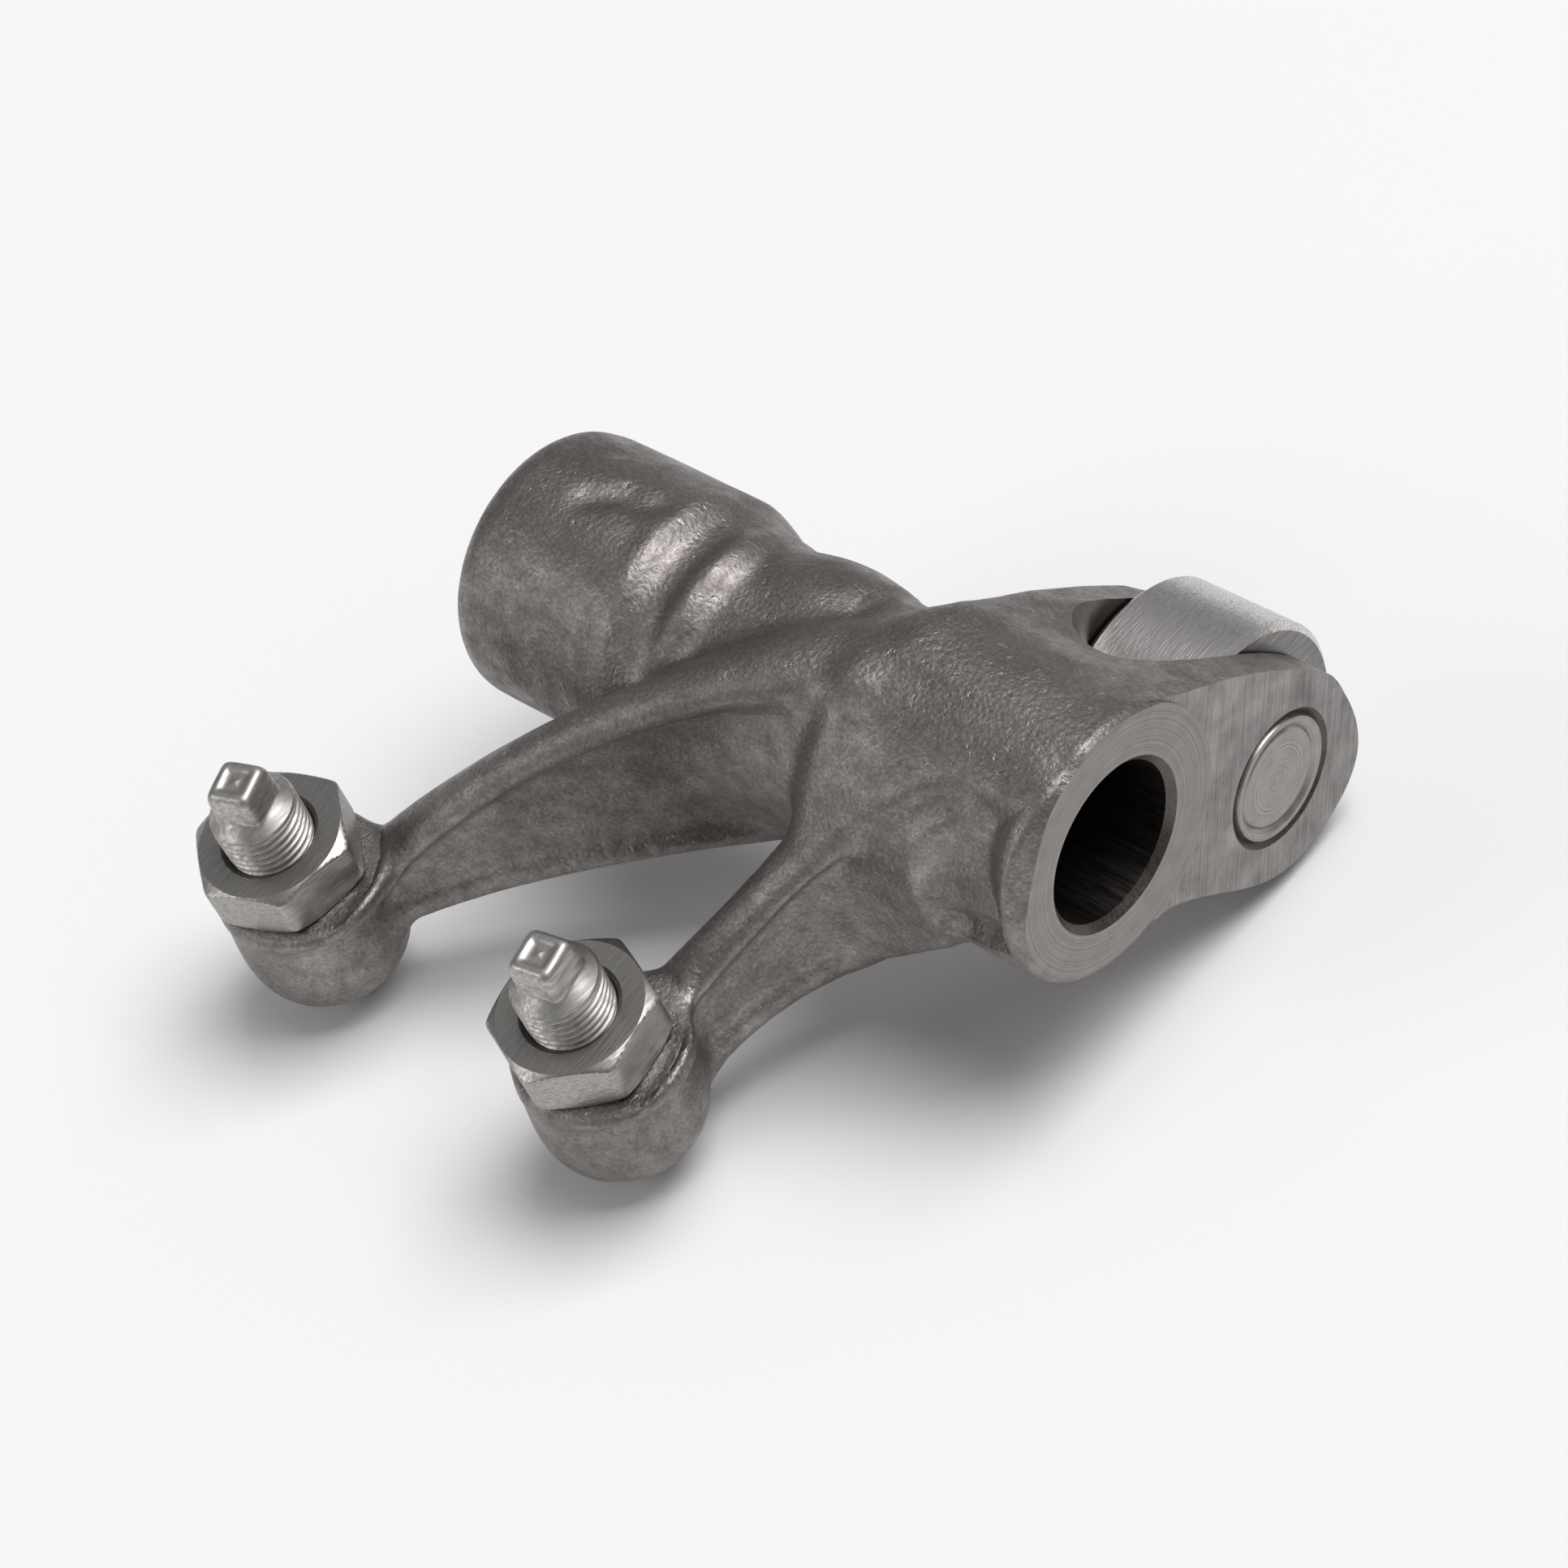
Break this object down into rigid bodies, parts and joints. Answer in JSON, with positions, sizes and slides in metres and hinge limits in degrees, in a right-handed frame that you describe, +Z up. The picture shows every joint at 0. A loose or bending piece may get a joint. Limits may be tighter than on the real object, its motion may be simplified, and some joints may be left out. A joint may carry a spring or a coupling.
{
  "type": "rocker arm",
  "caption": "Forked roller rocker arm with a long shaft tube, a needle roller in a fork, and two splayed arms that end in screw adjusters with lock nuts.",
  "frame": {"origin": "on the axis of the shaft bore, halfway between the tube's two end faces", "axes": "+X along the shaft bore towards the ring face beside the roller fork; +Z up with the part lying on its roller and its two adjuster tips; the adjusters' axes lean 7.2 degrees back in the YZ plane"},
  "size_m": [0.0561, 0.0569, 0.0285],
  "materials": {
    "forging": "forged and shot-blasted steel, dark grey and lightly oiled, with machined faces",
    "hardened_pin": "hardened steel with turned ends",
    "ground_roller": "ground bearing steel, bright satin",
    "needle_steel": "ground and polished bearing steel",
    "screw_steel": "hardened steel, rolled thread, satin",
    "nut_steel": "zinc-phosphated steel, satin grey"
  },
  "bodies": {
    "arm": {"rocker_arm": "forging", "roller_pin": "hardened_pin"},
    "roller": {"roller": "ground_roller"},
    "needle_ring": {"needle_01": "needle_steel", "needle_02": "needle_steel", "needle_03": "needle_steel", "needle_04": "needle_steel", "needle_05": "needle_steel", "needle_06": "needle_steel", "needle_07": "needle_steel", "needle_08": "needle_steel", "needle_09": "needle_steel", "needle_10": "needle_steel", "needle_11": "needle_steel", "needle_12": "needle_steel", "needle_13": "needle_steel", "needle_14": "needle_steel", "needle_15": "needle_steel", "needle_16": "needle_steel", "needle_17": "needle_steel"},
    "adjuster_near": {"adjuster_screw_near": "screw_steel"},
    "adjuster_far": {"adjuster_screw_far": "screw_steel"},
    "nut_near": {"lock_nut_near": "nut_steel"},
    "nut_far": {"lock_nut_far": "nut_steel"}
  },
  "joints": [
    {"name": "roller_spin", "type": "hinge", "parent": "arm", "child": "roller", "pos_m": [0.0168, 0.01532, -0.00915], "axis": [1, 0, 0], "continuous": true},
    {"name": "needle_orbit", "type": "hinge", "parent": "arm", "child": "needle_ring", "pos_m": [0.0168, 0.01532, -0.00915], "axis": [1, 0, 0], "continuous": true},
    {"name": "adjust_near", "type": "slide", "parent": "arm", "child": "adjuster_near", "axis": [0, -0.1254, 0.9921], "range_m": [-0.001, 0.001]},
    {"name": "adjust_far", "type": "slide", "parent": "arm", "child": "adjuster_far", "axis": [0, -0.1254, 0.9921], "range_m": [-0.001, 0.001]},
    {"name": "unlock_near", "type": "hinge", "parent": "arm", "child": "nut_near", "pos_m": [0.0015, -0.02596, -0.0063], "axis": [0, -0.1254, 0.9921], "range_deg": [0, 360]},
    {"name": "unlock_far", "type": "hinge", "parent": "arm", "child": "nut_far", "pos_m": [-0.0257, -0.02596, -0.0063], "axis": [0, -0.1254, 0.9921], "range_deg": [0, 360]}
  ],
  "couplings": [
    {"joint": "needle_orbit", "follows": "roller_spin", "ratio": 0.5931}
  ]
}
